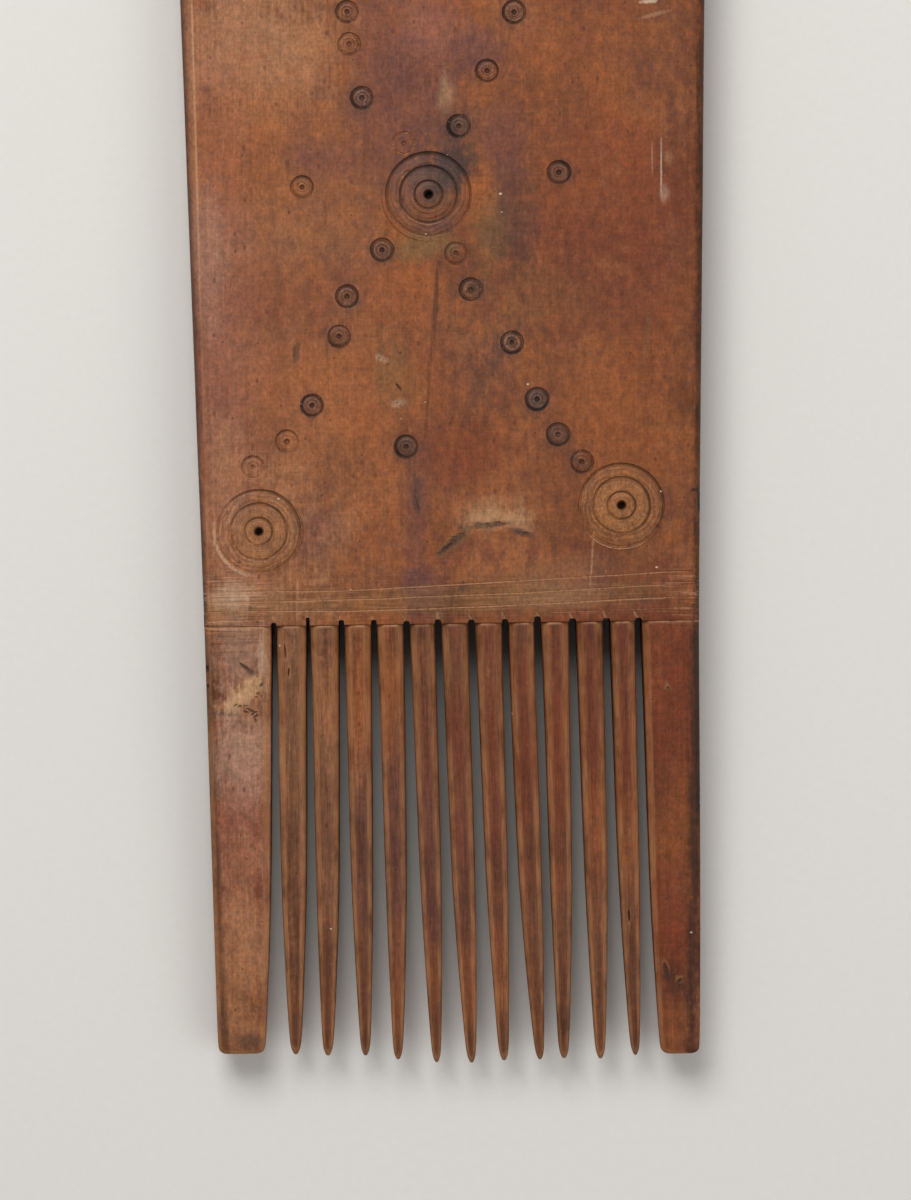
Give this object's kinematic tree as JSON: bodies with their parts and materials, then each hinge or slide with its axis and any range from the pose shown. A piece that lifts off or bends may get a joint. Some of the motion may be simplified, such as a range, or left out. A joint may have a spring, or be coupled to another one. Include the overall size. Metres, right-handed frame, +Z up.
{
  "type": "comb",
  "caption": "Flat wooden double-ended hair comb: long coarse teeth at one end, fine teeth at the other, ring-and-dot ornament on the panel between them.",
  "frame": {"origin": "under the middle of the panel, on the flat back face that the comb lies on, below the central ring motif's line", "axes": "+X across the comb to the right as seen from the ornamented front, +Y along the comb from the coarse teeth to the fine teeth, +Z up through its thickness, out of the ornamented front face"},
  "size_m": [0.0766, 0.233, 0.011],
  "materials": {
    "wood": "worn satin, darkened by handling"
  },
  "bodies": {
    "root": {"centre_panel": "wood", "coarse_guard_left": "wood", "coarse_guard_right": "wood", "coarse_tooth_01": "wood", "coarse_tooth_02": "wood", "coarse_tooth_03": "wood", "coarse_tooth_04": "wood", "coarse_tooth_05": "wood", "coarse_tooth_06": "wood", "coarse_tooth_07": "wood", "coarse_tooth_08": "wood", "coarse_tooth_09": "wood", "coarse_tooth_10": "wood", "coarse_tooth_11": "wood", "fine_guard_left": "wood", "fine_guard_right": "wood", "fine_tooth_01": "wood", "fine_tooth_02": "wood", "fine_tooth_03": "wood", "fine_tooth_04": "wood", "fine_tooth_05": "wood", "fine_tooth_06": "wood", "fine_tooth_07": "wood", "fine_tooth_08": "wood", "fine_tooth_09": "wood", "fine_tooth_10": "wood", "fine_tooth_11": "wood", "fine_tooth_12": "wood", "fine_tooth_13": "wood", "fine_tooth_14": "wood", "fine_tooth_15": "wood", "fine_tooth_16": "wood", "fine_tooth_17": "wood", "fine_tooth_18": "wood", "fine_tooth_19": "wood", "fine_tooth_20": "wood", "fine_tooth_21": "wood", "fine_tooth_22": "wood", "fine_tooth_23": "wood", "fine_tooth_24": "wood", "fine_tooth_25": "wood", "fine_tooth_26": "wood", "fine_tooth_27": "wood", "fine_tooth_28": "wood", "fine_tooth_29": "wood", "fine_tooth_30": "wood", "fine_tooth_31": "wood", "fine_tooth_32": "wood", "fine_tooth_33": "wood", "fine_tooth_34": "wood"}
  },
  "joints": []
}
